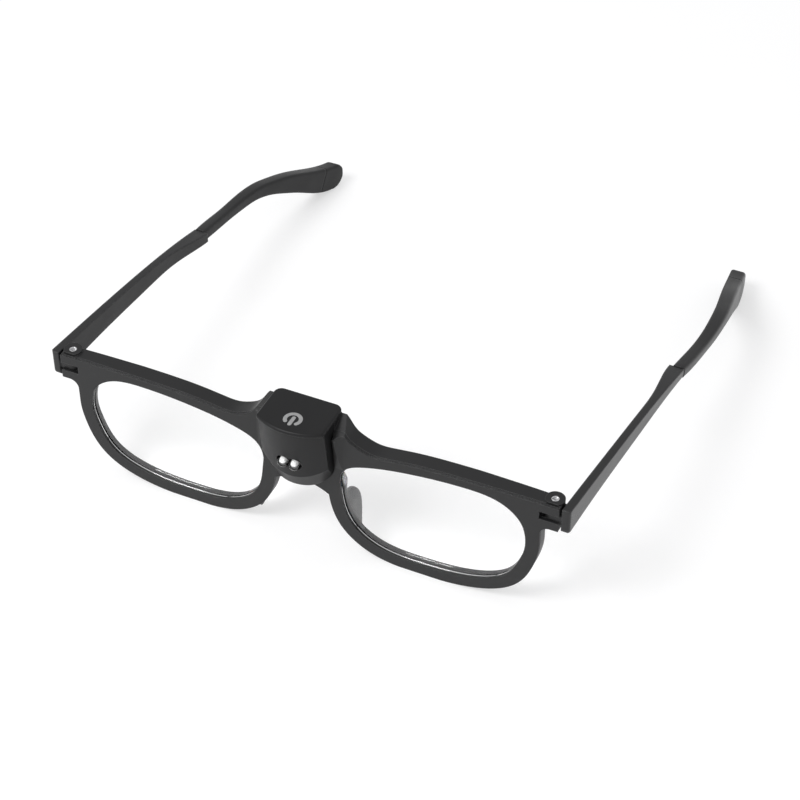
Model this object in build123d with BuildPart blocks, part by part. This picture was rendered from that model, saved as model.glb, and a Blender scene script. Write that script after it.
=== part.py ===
"""Lighted magnifier glasses: a black plastic frame with two clear magnifying lenses, a light box with two
lamps on the bridge, and two folding arms with soft tips. Millimetres, +Z up, the wearer's head is towards +Y.
The model is laid out about the middle of the front face (X = 0, Y = 0) and the floor (Z = 0), and every piece
is moved at the end so that the origin is the middle of the whole object's bottom."""
from build123d import *
from math import cos, radians, sin, tan
import os

# Front: overall shape
ear_end_x = 70.2  # from the middle to the outer end of each hinge ear
brow_top = 37.4  # height of the brow above the floor
plate_thickness = 1.1  # thin front plate
rim_depth = 3.9  # front of the plate to the back of the rims
brow_depth = 5.4  # front of the plate to the back of the brow
ear_depth = 4.6  # the same at the outer ends, where the brow runs out into the ears
taper_start_x = 48.0
rim_width = 3.65  # width of the rims seen from the front
parting_front = 0.3  # fine groove round the plate, just behind its front edge
parting_width = 0.35
parting_step = 0.25

# Lens openings, as shares of their half width and half height
lens_centre_x = 36.35
lens_centre_z = 19.2
lens_half_width = 25.45
lens_half_height = 15.75
opening_shares = (
    (-1.0, 0.229), (-0.945, 0.559), (-0.741, 0.749), (-0.25, 0.921), (0.36, 1.0), (0.772, 0.889),
    (0.976, 0.527), (1.004, 0.25), (0.976, -0.057), (0.811, -0.603), (0.418, -0.917), (-0.132, -0.997),
    (-0.623, -0.889), (-0.878, -0.559), (-0.98, -0.045),
)
temple_knot = 7  # which of these points is furthest out
lens_flange = 1.0  # how far the lens reaches into the rim
lens_edge_thickness = 1.3
lens_middle_thickness = 2.3
lens_clearance = 0.05

# Brow line from the light box to the hinge, as shares of ear_end_x and brow_top
brow_shares = (
    (0.141, 1.16), (0.157, 1.123), (0.17, 1.088), (0.194, 1.024), (0.235, 0.976), (0.289, 0.9465),
    (0.342, 0.952), (0.427, 0.973), (0.541, 0.988), (0.712, 0.995), (0.883, 1.0),
)
saddle_front = 39.4  # height of the brow's front edge beside the light box
saddle_slope = 0.52  # rise of the brow's top from there to the back
bridge_bottom = 20.3  # top of the arch over the nose
arch_radius = 15.0

# Hinges
hinge_x = 68.0
hinge_y = 3.1
ear_bottom = 30.0
ear_corner = 2.5  # hollow corner between the rim and the lower ear
knuckle_radius = 2.5
boss_height = 0.5  # round boss about each screw
slot_bottom = 32.5
slot_height = 2.4
slot_reach = 2.9  # from the screw to the blind end of the slot
tongue_clearance = 0.08
tongue_radius = 2.4
screw_radius = 0.7
screw_head_radius = 1.0
screw_head_height = 0.7
screw_running_clearance = 0.05
screw_thread_clearance = 0.02
screw_end_gap = 0.5

# Light box
box_half_width = 9.4
box_back = 6.8
box_rear_corner = 2.2
box_lower_corner = 3.0
box_front = 8.1  # lip of the cover in front of the plate
lip_corner_front = 5.3  # front corners of the cover
cover_top = 43.4
cover_thickness = 1.0
cover_corner = 0.9
cover_edge_round = 0.6
shell_front = 7.75  # at the cover
shell_corner_front = 4.5
shell_lean = 2.3  # how far the foot of the shell sits back from its top
chin_bottom = 22.3
chin_corner = 5.5
chin_foot_y = -4.0  # foot of the sloping chin, at the middle
chin_slope = 24.0  # degrees from upright
chin_axis_y = 5.0  # the chin is part of a cone about this upright axis
shell_wall = 1.2
shell_clearance = 0.1
cheek_bottom = 28.0  # small cheeks of the plate beside the shell
cheek_reach = 1.6
cheek_width = 3.1
cheek_gap = 0.35
cheek_lip = 0.4
cavity_half_width = 7.8
cavity_bottom = 24.6
cavity_back_wall = 1.2

# Lamps, board, cell and socket inside the light box
lamp_spacing = 3.2
lamp_height = 31.3
lamp_radius = 1.45
lamp_tip_y = -8.0
lamp_length = 5.0
lamp_flange = 0.25
lamp_flange_length = 0.8
lamp_hole_clearance = 0.45
lamp_fit = 0.05
holder_wall = 0.9
holder_depth = 1.3
board_width = 11.0
board_top_gap = 2.6
board_foot_gap = 3.0
board_thickness = 0.8
cell_width = 12.0
cell_thickness = 5.6
cell_foot_gap = 2.0  # above the socket
cell_gap = 0.1
cell_corner = 0.6
charge_board_width = 9.0
charge_board_depth = 4.6
charge_board_thickness = 0.6
touch_pad_radius = 2.2
touch_pad_thickness = 0.3
touch_pad_gap = 0.1
contact_width = 2.0
contact_thickness = 0.3
contact_reach = 2.4
socket_width = 7.5
socket_height = 2.6
socket_depth = 4.0
socket_wall = 0.3
socket_inset = 0.1
socket_tongue_height = 0.5
socket_tongue_width = 3.6
socket_clearance = 0.1

# Nose pads
pad_root_x = 12.3
pad_root_z = 8.0
pad_flare = 8.0
pad_lean = 17.0
pad_depth = 6.2
pad_half_height = 7.5
nose_pad_thickness = 1.8
nose_pad_round = 0.6
# from the top down: a small wing, a waist and the main lobe, which runs out towards the bottom
nose_pad_shares = (
    (-0.3, -1.7), (0.14, -1.72), (0.36, -1.48), (0.27, -1.2), (0.48, -1.05), (0.84, -0.94), (1.0, -0.62),
    (0.88, -0.25), (0.64, 0.12), (0.4, 0.53), (0.14, 0.9), (-0.3, 1.0),
)

# Arms, measured from the hinge screw; outer faces to +X
arm_front = 2.8  # end of the arm in front of the screw
arm_gap = 2.9  # inner face of the arm's front end beside the screw
arm_thickness = 2.2
arm_front_top = 37.5
arm_front_height = 7.8
arm_length = 73.2  # screw to the seam of the tip
seam_top = 26.0
seam_outer_x = 6.8
arm_seam_height = 3.0
arm_lip = 4.2  # thickness of the arm at the seam
arm_corner = 1.4
arm_edge_round = 0.8
# shares of arm_length and of the fall from the front's top to the seam's top
arm_top_shares = ((0.22, 0.19), (0.53, 0.445), (0.79, 0.71))
# the same for the lower edge, back to front
arm_bottom_shares = ((0.79, 0.66), (0.59, 0.46), (0.22, 0.12))
# shares of arm_length, then the arm's thickness there as a share of its thickness at the seam, back to front
arm_inner_shares = ((0.97, 0.99), (0.87, 0.79), (0.76, 0.55), (0.62, 0.48), (0.22, 0.5))

# Tips, measured along Y from the seam; the end is a half round resting on the floor
tip_length = 72.8
tip_seam_height = 2.9
tip_seam_thickness = 3.2
tip_seam_step = 0.2
tip_end_radius = 4.1
tip_end_slope = 24.7
tip_end_thickness = 4.4
tip_end_outer_x = 0.9
peg_side_step = 0.44  # peg's middle inside the outer face
cap_length = 10.5
cap_gap = 0.15
peg_length = 3.0
peg_width = 1.6
peg_clearance = 0.05
spigot_length = 3.0
spigot_width = 1.5
spigot_height = 1.2
spigot_drop = 1.7  # centre of the spigot below the arm's top edge at the seam
tip_top_shares = (
    (0.069, 0.962), (0.207, 0.892), (0.344, 0.842), (0.413, 0.815), (0.482, 0.777), (0.551, 0.723),
    (0.62, 0.665), (0.689, 0.595), (0.826, 0.43),
)
tip_bottom_shares = (
    (0.826, 0.115), (0.689, 0.345), (0.62, 0.45), (0.551, 0.55), (0.482, 0.63), (0.427, 0.677),
    (0.344, 0.715), (0.207, 0.773),
)
# shares of tip_length, then X from the screw as a share of seam_outer_x
tip_outer_shares = (
    (0.069, 1.045), (0.207, 1.1), (0.344, 1.115), (0.413, 1.09), (0.482, 1.03), (0.551, 0.93),
    (0.62, 0.81), (0.689, 0.69), (0.826, 0.44),
)
tip_inner_shares = (
    (0.826, -0.205), (0.689, 0.09), (0.579, 0.325), (0.482, 0.5), (0.413, 0.58), (0.344, 0.632),
    (0.207, 0.632),
)

# How far each arm stands open in the rest pose, turned outwards about its screw
right_open_angle = 1.6
left_open_angle = -1.6

overrun = 2.0  # how far cutting shapes pass the faces they cut

# Sizes that follow from the ones above
cover_seat = cover_top - cover_thickness
lens_front = plate_thickness + lens_edge_thickness - lens_middle_thickness
board_front = lamp_tip_y + lamp_length
board_bottom = cavity_bottom + board_foot_gap
cavity_back = box_back - cavity_back_wall
board_height = cover_seat - board_top_gap - board_bottom
socket_z = cavity_bottom + charge_board_thickness + socket_height / 2
cell_top = cover_seat - 2 * cell_gap
cell_height = cell_top - socket_z - socket_height / 2 - cell_foot_gap
boss_top = brow_top + boss_height
tip_end_y = arm_length + tip_length - tip_end_radius
seam_middle_x = seam_outer_x - tip_seam_step - tip_seam_thickness / 2

os.makedirs("parts", exist_ok=True)
pieces = {}


def facing(y):
    """The upright plane at depth y, seen from the front: X to the right, Z up."""
    return Plane(origin=(0, y, 0), x_dir=(1, 0, 0), z_dir=(0, -1, 0))


def side_plane(x):
    """The upright plane at X = x, with the sketch's X along +Y and its Y up."""
    return Plane(origin=(x, 0, 0), x_dir=(0, 1, 0), z_dir=(1, 0, 0))


# Outlines shared by the plate, the frame and the lenses
opening_knots = [
    Vector(lens_centre_x + u * lens_half_width, lens_centre_z + v * lens_half_height)
    for u, v in opening_shares
]
opening_loop = Spline(*opening_knots, periodic=True)
opening_normals = [opening_loop.tangent_at(knot).rotate(Axis.Z, 90) for knot in opening_knots]


def grown_knots(grow):
    """Points of the right lens opening's outline, moved outwards by the given margin."""
    return [knot + normal * grow for knot, normal in zip(opening_knots, opening_normals)]


def openings(grow):
    """Both lens openings, grown by the given margin: arc at the temple, line at the nose, two splines."""
    knots = grown_knots(grow)
    with BuildSketch(Plane.XY) as both:
        with BuildLine():
            nose = Line(knots[-1], knots[0])
            temple = ThreePointArc(*knots[temple_knot - 1:temple_knot + 2])
            Spline(*knots[:temple_knot], tangents=(nose % 1, temple % 0), tangent_scalars=(1, 1))
            Spline(*knots[temple_knot + 1:], tangents=(temple % 1, nose % 0), tangent_scalars=(1, 1))
        make_face()
        mirror(about=Plane.YZ)
    return both.sketch_local


def front_outline(shrink):
    """Outer outline of the whole front, pulled in by the given margin: rims, brow, bridge and hinge ears."""
    knots = grown_knots(rim_width - shrink)
    temple = knots[temple_knot]
    ear_low = ear_bottom + shrink
    ear_high = brow_top - shrink
    ear_side = ear_end_x - shrink
    arch_top = bridge_bottom + shrink
    with BuildSketch(Plane.XY) as band:
        with BuildLine():
            brow = Spline(
                *[(u * ear_end_x, v * brow_top - shrink) for u, v in brow_shares],
                tangents=((1, -2), (1, 0)),
                tangent_scalars=(1, 1),
            )
            Polyline(brow @ 1, (ear_side, ear_high), (ear_side, ear_low), (temple.X + ear_corner, ear_low))
            RadiusArc((temple.X + ear_corner, ear_low), (temple.X, ear_low - ear_corner), -ear_corner)
            Line((temple.X, ear_low - ear_corner), temple)
            Spline(
                *knots[temple_knot:], tangents=((0, -1), knots[0] - knots[-1]), tangent_scalars=(1, 1)
            )
            RadiusArc(knots[-1], (0, arch_top), -arch_radius)
            Polyline((0, arch_top), (0, (brow @ 0).Y), brow @ 0)
        make_face()
        mirror(about=Plane.YZ)
        with Locations((0, shrink - lens_centre_z)):
            Rectangle(2 * ear_end_x, 2 * lens_centre_z, mode=Mode.SUBTRACT)
    return band.sketch_local


outline = front_outline(0)
inner_outline = front_outline(parting_step)
lens_holes = openings(0)


def saddle_cut():
    """Wedges beside the light box, above the brow's top, which slopes down to the front there."""
    with BuildPart() as wedges:
        with BuildSketch(side_plane(box_half_width), side_plane(-2 * box_half_width)):
            with BuildLine():
                Polyline(
                    (-overrun, saddle_front - saddle_slope * overrun),
                    (brow_depth, saddle_front + saddle_slope * brow_depth),
                    (brow_depth, cover_top + overrun),
                    (-overrun, cover_top + overrun),
                    close=True,
                )
            make_face()
        extrude(amount=box_half_width)
    return wedges.part


# Front plate: thin face over both rims and the bridge, with a cheek on each side of the light box
parting_back = parting_front + parting_width
with BuildPart() as front_plate:
    for face_y, back_y, shape in (
        (0, parting_front, outline),
        (parting_front, parting_back, inner_outline),
        (parting_back, plate_thickness, outline),
    ):
        with BuildSketch(facing(face_y)):
            add(shape)
            add(lens_holes, mode=Mode.SUBTRACT)
        extrude(amount=face_y - back_y)
    # cheeks: small hollow wedges that run out towards the chin
    cheek_inner = box_half_width + cheek_gap
    cheek_root = box_half_width + cheek_width
    with BuildSketch(Plane.XY.offset(cheek_bottom)):
        with BuildLine():
            Polyline(
                (cheek_inner + cheek_lip, -cheek_reach),
                (cheek_inner, -cheek_reach),
                (cheek_inner, parting_front),
                (cheek_root, parting_front),
                (cheek_root, 0),
            )
            TangentArc((cheek_root, 0), (cheek_inner + cheek_lip, -cheek_reach), tangent=(-1, 0))
        make_face()
        mirror(about=Plane.YZ)
    extrude(amount=cover_seat - cheek_bottom)
    with BuildSketch(side_plane(-cheek_root - overrun)):
        with BuildLine():
            Polyline(
                (-cheek_reach - overrun, saddle_front),
                (-cheek_reach, saddle_front),
                (0, cheek_bottom),
                (-cheek_reach - overrun, cheek_bottom),
                close=True,
            )
        make_face()
    extrude(amount=2 * (cheek_root + overrun), mode=Mode.SUBTRACT)
    add(saddle_cut(), mode=Mode.SUBTRACT)
    # opening for the light box, with the shell's rounded lower corners
    with BuildSketch(facing(-overrun)) as box_opening:
        with Locations((0, chin_bottom - shell_clearance)):
            Rectangle(2 * box_half_width, brow_top, align=(Align.CENTER, Align.MIN))
        fillet(box_opening.vertices().group_by(Axis.Y)[0], chin_corner + shell_clearance)
    extrude(amount=-overrun - plate_thickness, mode=Mode.SUBTRACT)
    # hinge slots
    with BuildSketch(facing(-overrun)):
        with Locations((hinge_x, slot_bottom + slot_height / 2), (-hinge_x, slot_bottom + slot_height / 2)):
            Rectangle(2 * slot_reach, slot_height)
    extrude(amount=-overrun - rim_depth, mode=Mode.SUBTRACT)
pieces["front_plate"] = front_plate.part


def box_wall():
    """Rear half of the light box as a full block, with rounded upright and lower corners."""
    with BuildPart() as wall:
        with BuildSketch(Plane.XY.offset(chin_bottom)) as plan:
            with Locations((0, plate_thickness)):
                Rectangle(2 * box_half_width, box_back - plate_thickness, align=(Align.CENTER, Align.MIN))
            fillet(plan.vertices().group_by(Axis.Y)[-1], box_rear_corner)
        extrude(amount=cover_seat - chin_bottom)
        with BuildSketch(facing(0)) as front_view:
            with Locations((0, chin_bottom)):
                Rectangle(2 * box_half_width, brow_top, align=(Align.CENTER, Align.MIN))
            fillet(front_view.vertices().group_by(Axis.Y)[0], box_lower_corner)
        extrude(amount=-box_back - overrun, mode=Mode.INTERSECT)
    return wall.part


# Frame behind the plate: rims with the lens rebate, brow, ears and the walls of the light box
with BuildPart() as front_frame:
    with BuildSketch(facing(plate_thickness)):
        add(outline)
        add(lens_holes, mode=Mode.SUBTRACT)
    extrude(amount=plate_thickness - rim_depth)
    # brow and ears are deeper than the rims
    with BuildSketch(facing(rim_depth)):
        add(outline)
        add(openings(lens_flange), mode=Mode.SUBTRACT)
        with Locations((0, ear_bottom + brow_top)):
            Rectangle(4 * ear_end_x, 2 * brow_top, mode=Mode.INTERSECT)
    extrude(amount=rim_depth - brow_depth)
    # the brow's back runs out towards the ears
    with BuildSketch(Plane.XY.offset(ear_bottom - overrun)):
        with BuildLine():
            Polyline(
                (taper_start_x, brow_depth), (ear_end_x, ear_depth), (ear_end_x, brow_depth), close=True
            )
        make_face()
        mirror(about=Plane.YZ)
    extrude(amount=brow_top, mode=Mode.SUBTRACT)
    add(saddle_cut(), mode=Mode.SUBTRACT)
    add(box_wall())
    # everything above the cover's seat is cut away
    with BuildSketch(Plane.XY.offset(cover_seat)):
        Rectangle(2 * ear_end_x, 4 * box_back)
    extrude(amount=brow_top, mode=Mode.SUBTRACT)
    # room for the cell and the board, open to the front and the top
    with BuildSketch(Plane.XY.offset(cavity_bottom)):
        with BuildLine():
            Polyline(
                (-cavity_half_width, -overrun),
                (cavity_half_width, -overrun),
                (cavity_half_width, cavity_back),
                (-cavity_half_width, cavity_back),
                close=True,
            )
        make_face()
    extrude(amount=brow_top, mode=Mode.SUBTRACT)
    # rebate for the lenses
    with BuildSketch(facing(plate_thickness)):
        add(openings(lens_flange + lens_clearance))
    extrude(amount=-lens_edge_thickness - lens_clearance, mode=Mode.SUBTRACT)
    # knuckles: the ears' outer rear corners are round about the screw
    with BuildSketch(Plane.XY.offset(ear_bottom)):
        with Locations((hinge_x, hinge_y), (-hinge_x, hinge_y)):
            Circle(knuckle_radius)
        with Locations((0, plate_thickness - knuckle_radius)):
            Rectangle(4 * ear_end_x, 2 * knuckle_radius, mode=Mode.SUBTRACT)
    extrude(amount=boss_top - ear_bottom)
    with BuildSketch(Plane.XY.offset(ear_bottom - overrun)):
        with Locations((hinge_x + overrun, hinge_y + overrun), (-hinge_x - overrun, hinge_y + overrun)):
            Rectangle(2 * overrun, 2 * overrun)
        with Locations((hinge_x, hinge_y), (-hinge_x, hinge_y)):
            Circle(knuckle_radius, mode=Mode.SUBTRACT)
    extrude(amount=brow_top, mode=Mode.SUBTRACT)
    # slots for the arms' tongues, then the screw holes
    with BuildSketch(facing(-overrun)):
        with Locations((hinge_x, slot_bottom + slot_height / 2), (-hinge_x, slot_bottom + slot_height / 2)):
            Rectangle(2 * slot_reach, slot_height)
    extrude(amount=-2 * overrun - brow_depth, mode=Mode.SUBTRACT)
    with Locations((hinge_x, hinge_y, boss_top), (-hinge_x, hinge_y, boss_top)):
        CounterBoreHole(
            screw_radius + screw_running_clearance,
            screw_head_radius + screw_running_clearance,
            screw_head_height,
            boss_top - slot_bottom,
        )
    with Locations((hinge_x, hinge_y, slot_bottom), (-hinge_x, hinge_y, slot_bottom)):
        Hole(screw_radius + screw_thread_clearance, slot_bottom - ear_bottom)
    # mouth of the charging socket
    with BuildSketch(facing(box_back + overrun)):
        with Locations((0, socket_z)):
            SlotOverall(socket_width + 2 * socket_clearance, socket_height + 2 * socket_clearance)
    extrude(amount=overrun + 2 * cavity_back_wall, mode=Mode.SUBTRACT)
pieces["front_frame"] = front_frame.part

# Right lens: the rebate's outline, with a domed front face that stands in the plate's opening
dome_radius = (lens_half_width**2 + lens_half_height**2) / (
    2 * (lens_middle_thickness - lens_edge_thickness)
)
with BuildPart() as right_lens:
    with BuildSketch(facing(lens_front - overrun)):
        add(openings(-lens_clearance))
    extrude(amount=lens_front - overrun - plate_thickness - lens_edge_thickness / 2)
    with Locations((lens_centre_x, lens_front + dome_radius, lens_centre_z)):
        Sphere(dome_radius, mode=Mode.INTERSECT)
    with BuildSketch(facing(plate_thickness)):
        add(openings(lens_flange))
        with Locations((ear_end_x, lens_centre_z)):
            Rectangle(2 * ear_end_x, 2 * brow_top, mode=Mode.INTERSECT)
    extrude(amount=-lens_edge_thickness)
pieces["right_lens"] = right_lens.part
pieces["left_lens"] = mirror(right_lens.part, about=Plane.YZ)


def shell_profile(z, inset):
    """Plan of the light box's front shell at height z, with its walls moved in by inset."""
    lean = shell_lean * (cover_seat - z) / (cover_seat - chin_bottom)
    half = box_half_width - shell_clearance - inset
    back = plate_thickness - shell_clearance
    with BuildSketch(Plane.XY.offset(z)) as profile:
        with BuildLine():
            ThreePointArc(
                (-half, lean + inset - shell_corner_front),
                (0, lean + inset - shell_front),
                (half, lean + inset - shell_corner_front),
            )
            Polyline(
                (half, lean + inset - shell_corner_front),
                (half, back),
                (-half, back),
                (-half, lean + inset - shell_corner_front),
            )
        make_face()
    return profile.sketch


def shell_solid(inset):
    """The light box's front shell as a full body: leaning curved face, rounded lower corners and chin."""
    half = box_half_width - shell_clearance - inset
    low = chin_bottom + inset
    chin_foot_radius = chin_axis_y - chin_foot_y - inset
    chin_height = cover_seat + overrun - chin_bottom
    with BuildPart() as body:
        add(shell_profile(chin_bottom - overrun, inset))
        add(shell_profile(cover_seat, inset))
        loft()
        with BuildSketch(facing(-box_front - overrun)) as front_view:
            with Locations((0, (low + cover_seat + overrun) / 2)):
                Rectangle(2 * half + inset, cover_seat + overrun - low)
            fillet(front_view.vertices().group_by(Axis.Y)[0], chin_corner - inset)
        extrude(amount=-box_front - 2 * overrun - plate_thickness, mode=Mode.INTERSECT)
        with Locations((0, chin_axis_y, chin_bottom)):
            Cone(
                chin_foot_radius,
                chin_foot_radius + chin_height * tan(radians(chin_slope)),
                chin_height,
                align=(Align.CENTER, Align.CENTER, Align.MIN),
                mode=Mode.INTERSECT,
            )
    return body.part


# Front shell of the light box, with the double window for the lamps
with BuildPart() as light_shell:
    add(shell_solid(0))
    add(shell_solid(shell_wall), mode=Mode.SUBTRACT)
    with BuildSketch(facing(-box_front - overrun)):
        with Locations((-lamp_spacing / 2, lamp_height), (lamp_spacing / 2, lamp_height)):
            Circle(lamp_radius + lamp_hole_clearance)
    extrude(amount=lamp_tip_y - overrun - shell_wall, mode=Mode.SUBTRACT)
pieces["light_shell"] = light_shell.part

# Cover of the light box: a thin plate with a curved front lip
with BuildPart() as light_cover:
    with BuildSketch(Plane.XY.offset(cover_seat)) as cover_plan:
        with BuildLine():
            ThreePointArc(
                (-box_half_width, -lip_corner_front), (0, -box_front), (box_half_width, -lip_corner_front)
            )
            Polyline(
                (box_half_width, -lip_corner_front),
                (box_half_width, box_back),
                (-box_half_width, box_back),
                (-box_half_width, -lip_corner_front),
            )
        make_face()
        fillet(cover_plan.vertices().group_by(Axis.Y)[0], cover_corner)
        fillet(cover_plan.vertices().group_by(Axis.Y)[-1], box_rear_corner)
    extrude(amount=cover_thickness)
    fillet(light_cover.faces().sort_by(Axis.Z)[-1].edges(), cover_edge_round)
pieces["light_cover"] = light_cover.part

# Lamps: clear domes on a round body with a flange
with BuildPart() as right_lamp:
    with Locations(facing(lamp_tip_y + lamp_radius)):
        with Locations((lamp_spacing / 2, lamp_height, 0)):
            Sphere(lamp_radius)
            Cylinder(
                lamp_radius, lamp_length - lamp_radius, align=(Align.CENTER, Align.CENTER, Align.MAX)
            )
    with Locations(facing(board_front)):
        with Locations((lamp_spacing / 2, lamp_height, 0)):
            Cylinder(
                lamp_radius + lamp_flange / 2,
                lamp_flange_length,
                align=(Align.CENTER, Align.CENTER, Align.MIN),
            )
pieces["right_lamp"] = right_lamp.part
pieces["left_lamp"] = mirror(right_lamp.part, about=Plane.YZ)

# Holder: a block with a bore for each lamp
with BuildPart() as lamp_holder:
    with BuildSketch(facing(board_front)):
        with Locations((0, lamp_height)):
            RectangleRounded(
                lamp_spacing + 2 * (lamp_radius + holder_wall), 2 * (lamp_radius + holder_wall), holder_wall
            )
        with Locations((-lamp_spacing / 2, lamp_height), (lamp_spacing / 2, lamp_height)):
            Circle(lamp_radius + lamp_flange / 2 + lamp_fit, mode=Mode.SUBTRACT)
    extrude(amount=holder_depth)
pieces["lamp_holder"] = lamp_holder.part

# Circuit board behind the lamps
with BuildPart() as circuit_board:
    with BuildSketch(facing(board_front)):
        with Locations((0, board_bottom + board_height / 2)):
            Rectangle(board_width, board_height)
    extrude(amount=-board_thickness)
pieces["circuit_board"] = circuit_board.part

# Rechargeable cell against the rear wall
with BuildPart() as battery_cell:
    with Locations((0, cavity_back - cell_gap - cell_thickness / 2, cell_top)):
        Box(cell_width, cell_thickness, cell_height, align=(Align.CENTER, Align.CENTER, Align.MAX))
    fillet(battery_cell.edges().filter_by(Axis.Z), cell_corner)
pieces["battery_cell"] = battery_cell.part

# Charging board on the floor of the light box, and the socket that stands on it
with BuildPart() as charge_board:
    with Locations((0, cavity_back - cell_gap, cavity_bottom)):
        Box(
            charge_board_width,
            charge_board_depth,
            charge_board_thickness,
            align=(Align.CENTER, Align.MAX, Align.MIN),
        )
pieces["charge_board"] = charge_board.part
with BuildPart() as charge_socket:
    with BuildSketch(facing(box_back - socket_inset)):
        with Locations((0, socket_z)):
            SlotOverall(socket_width, socket_height)
    extrude(amount=socket_depth)
    with BuildSketch(facing(box_back - socket_inset)):
        with Locations((0, socket_z)):
            SlotOverall(socket_width - 2 * socket_wall, socket_height - 2 * socket_wall)
    extrude(amount=socket_depth - socket_wall, mode=Mode.SUBTRACT)
    with Locations((0, box_back - 2 * socket_inset - socket_depth / 2, socket_z)):
        Box(socket_tongue_width, socket_depth - socket_wall, socket_tongue_height)
pieces["charge_socket"] = charge_socket.part

# Touch pad under the cover, and the leaf that joins it to the board
with BuildPart() as touch_pad:
    with BuildSketch(Plane.XY.offset(cover_seat - touch_pad_gap)):
        with Locations((0, board_front)):
            Circle(touch_pad_radius)
    extrude(amount=-touch_pad_thickness)
pieces["touch_pad"] = touch_pad.part
with BuildPart() as touch_contact:
    with Locations((0, board_front + board_thickness, cover_seat - touch_pad_gap - touch_pad_thickness)):
        Box(
            contact_width,
            contact_thickness,
            board_top_gap + contact_reach,
            align=(Align.CENTER, Align.MIN, Align.MAX),
        )
pieces["touch_contact"] = touch_contact.part

# Right nose pad: a soft lobe behind the rim that leans with the nose, with a small wing above it
pad_plane = Plane(
    origin=(pad_root_x, rim_depth, pad_root_z),
    x_dir=(sin(radians(pad_flare)), cos(radians(pad_flare)), 0),
    z_dir=(
        -cos(radians(pad_flare)) * cos(radians(pad_lean)),
        sin(radians(pad_flare)) * cos(radians(pad_lean)),
        -sin(radians(pad_lean)),
    ),
)
with BuildPart() as right_nose_pad:
    with BuildSketch(pad_plane):
        with BuildLine():
            outer = Spline(*[(u * pad_depth, v * pad_half_height) for u, v in nose_pad_shares])
            Line(outer @ 1, outer @ 0)
        make_face()
    extrude(amount=nose_pad_thickness)
    fillet(right_nose_pad.edges().filter_by(GeomType.BSPLINE), nose_pad_round)
    with BuildSketch(facing(rim_depth)):
        with Locations((pad_root_x, pad_root_z)):
            Rectangle(4 * pad_depth, 4 * pad_half_height)
    extrude(amount=4 * pad_depth, mode=Mode.SUBTRACT)
pieces["right_nose_pad"] = right_nose_pad.part
pieces["left_nose_pad"] = mirror(right_nose_pad.part, about=Plane.YZ)

# Hinge screw: flat head in its recess, shank down through the tongue into the lower ear
with BuildPart() as right_hinge_screw:
    with Locations((hinge_x, hinge_y, boss_top)):
        Cylinder(screw_head_radius, screw_head_height, align=(Align.CENTER, Align.CENTER, Align.MAX))
        Cylinder(
            screw_radius,
            boss_top - ear_bottom - screw_end_gap,
            align=(Align.CENTER, Align.CENTER, Align.MAX),
        )
pieces["right_hinge_screw"] = right_hinge_screw.part
pieces["left_hinge_screw"] = mirror(right_hinge_screw.part, about=Plane.YZ)

# Arm, laid out about its hinge screw: side view, then plan
arm_front_low = arm_front_top - arm_front_height
arm_seam_low = seam_top - arm_seam_height
arm_outer_front = arm_gap + arm_thickness


def arm_outer_x(y):
    """X of the arm's outer face, which runs straight from its front end to the seam."""
    return arm_outer_front + (seam_outer_x - arm_outer_front) * (y + arm_front) / (arm_length + arm_front)


with BuildPart() as arm:
    with BuildSketch(side_plane(0)):
        with BuildLine():
            Spline(
                (-arm_front, arm_front_top),
                *[
                    (u * arm_length, arm_front_top - v * (arm_front_top - seam_top))
                    for u, v in arm_top_shares
                ],
                (arm_length, seam_top),
            )
            Line((arm_length, seam_top), (arm_length, arm_seam_low))
            Spline(
                (arm_length, arm_seam_low),
                *[
                    (u * arm_length, arm_front_low - v * (arm_front_low - arm_seam_low))
                    for u, v in arm_bottom_shares
                ],
                (arm_corner - arm_front, arm_front_low),
            )
            RadiusArc(
                (arm_corner - arm_front, arm_front_low),
                (-arm_front, arm_front_low + arm_corner),
                arm_corner,
            )
            Line((-arm_front, arm_front_low + arm_corner), (-arm_front, arm_front_top))
        make_face()
    extrude(amount=2 * seam_outer_x)
    with BuildSketch(Plane.XY):
        with BuildLine():
            Line((arm_outer_front, -arm_front), (seam_outer_x, arm_length))
            Line((seam_outer_x, arm_length), (seam_outer_x - arm_lip, arm_length))
            Spline(
                (seam_outer_x - arm_lip, arm_length),
                *[(arm_outer_x(u * arm_length) - v * arm_lip, u * arm_length) for u, v in arm_inner_shares],
                (arm_gap, -arm_front),
            )
            Line((arm_gap, -arm_front), (arm_outer_front, -arm_front))
        make_face()
    extrude(amount=2 * arm_front_top, mode=Mode.INTERSECT)
    front_edges = arm.faces().sort_by(Axis.Y)[0].edges().filter_by(Axis.Z)
    fillet(front_edges.sort_by(Axis.X)[-1], arm_edge_round)
    # tongue in the ear's slot, bored for the screw
    with BuildSketch(Plane.XY.offset(slot_bottom + tongue_clearance)):
        Circle(tongue_radius)
        with Locations(((arm_gap + arm_thickness / 2) / 2, 0)):
            Rectangle(arm_gap + arm_thickness / 2, 2 * tongue_radius)
        Circle(screw_radius + screw_running_clearance, mode=Mode.SUBTRACT)
    extrude(amount=slot_height - 2 * tongue_clearance)
    # spigot that carries the tip
    with Locations((seam_middle_x, arm_length, seam_top - spigot_drop)):
        Box(spigot_width, spigot_length, spigot_height, align=(Align.CENTER, Align.MIN, Align.CENTER))

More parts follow.
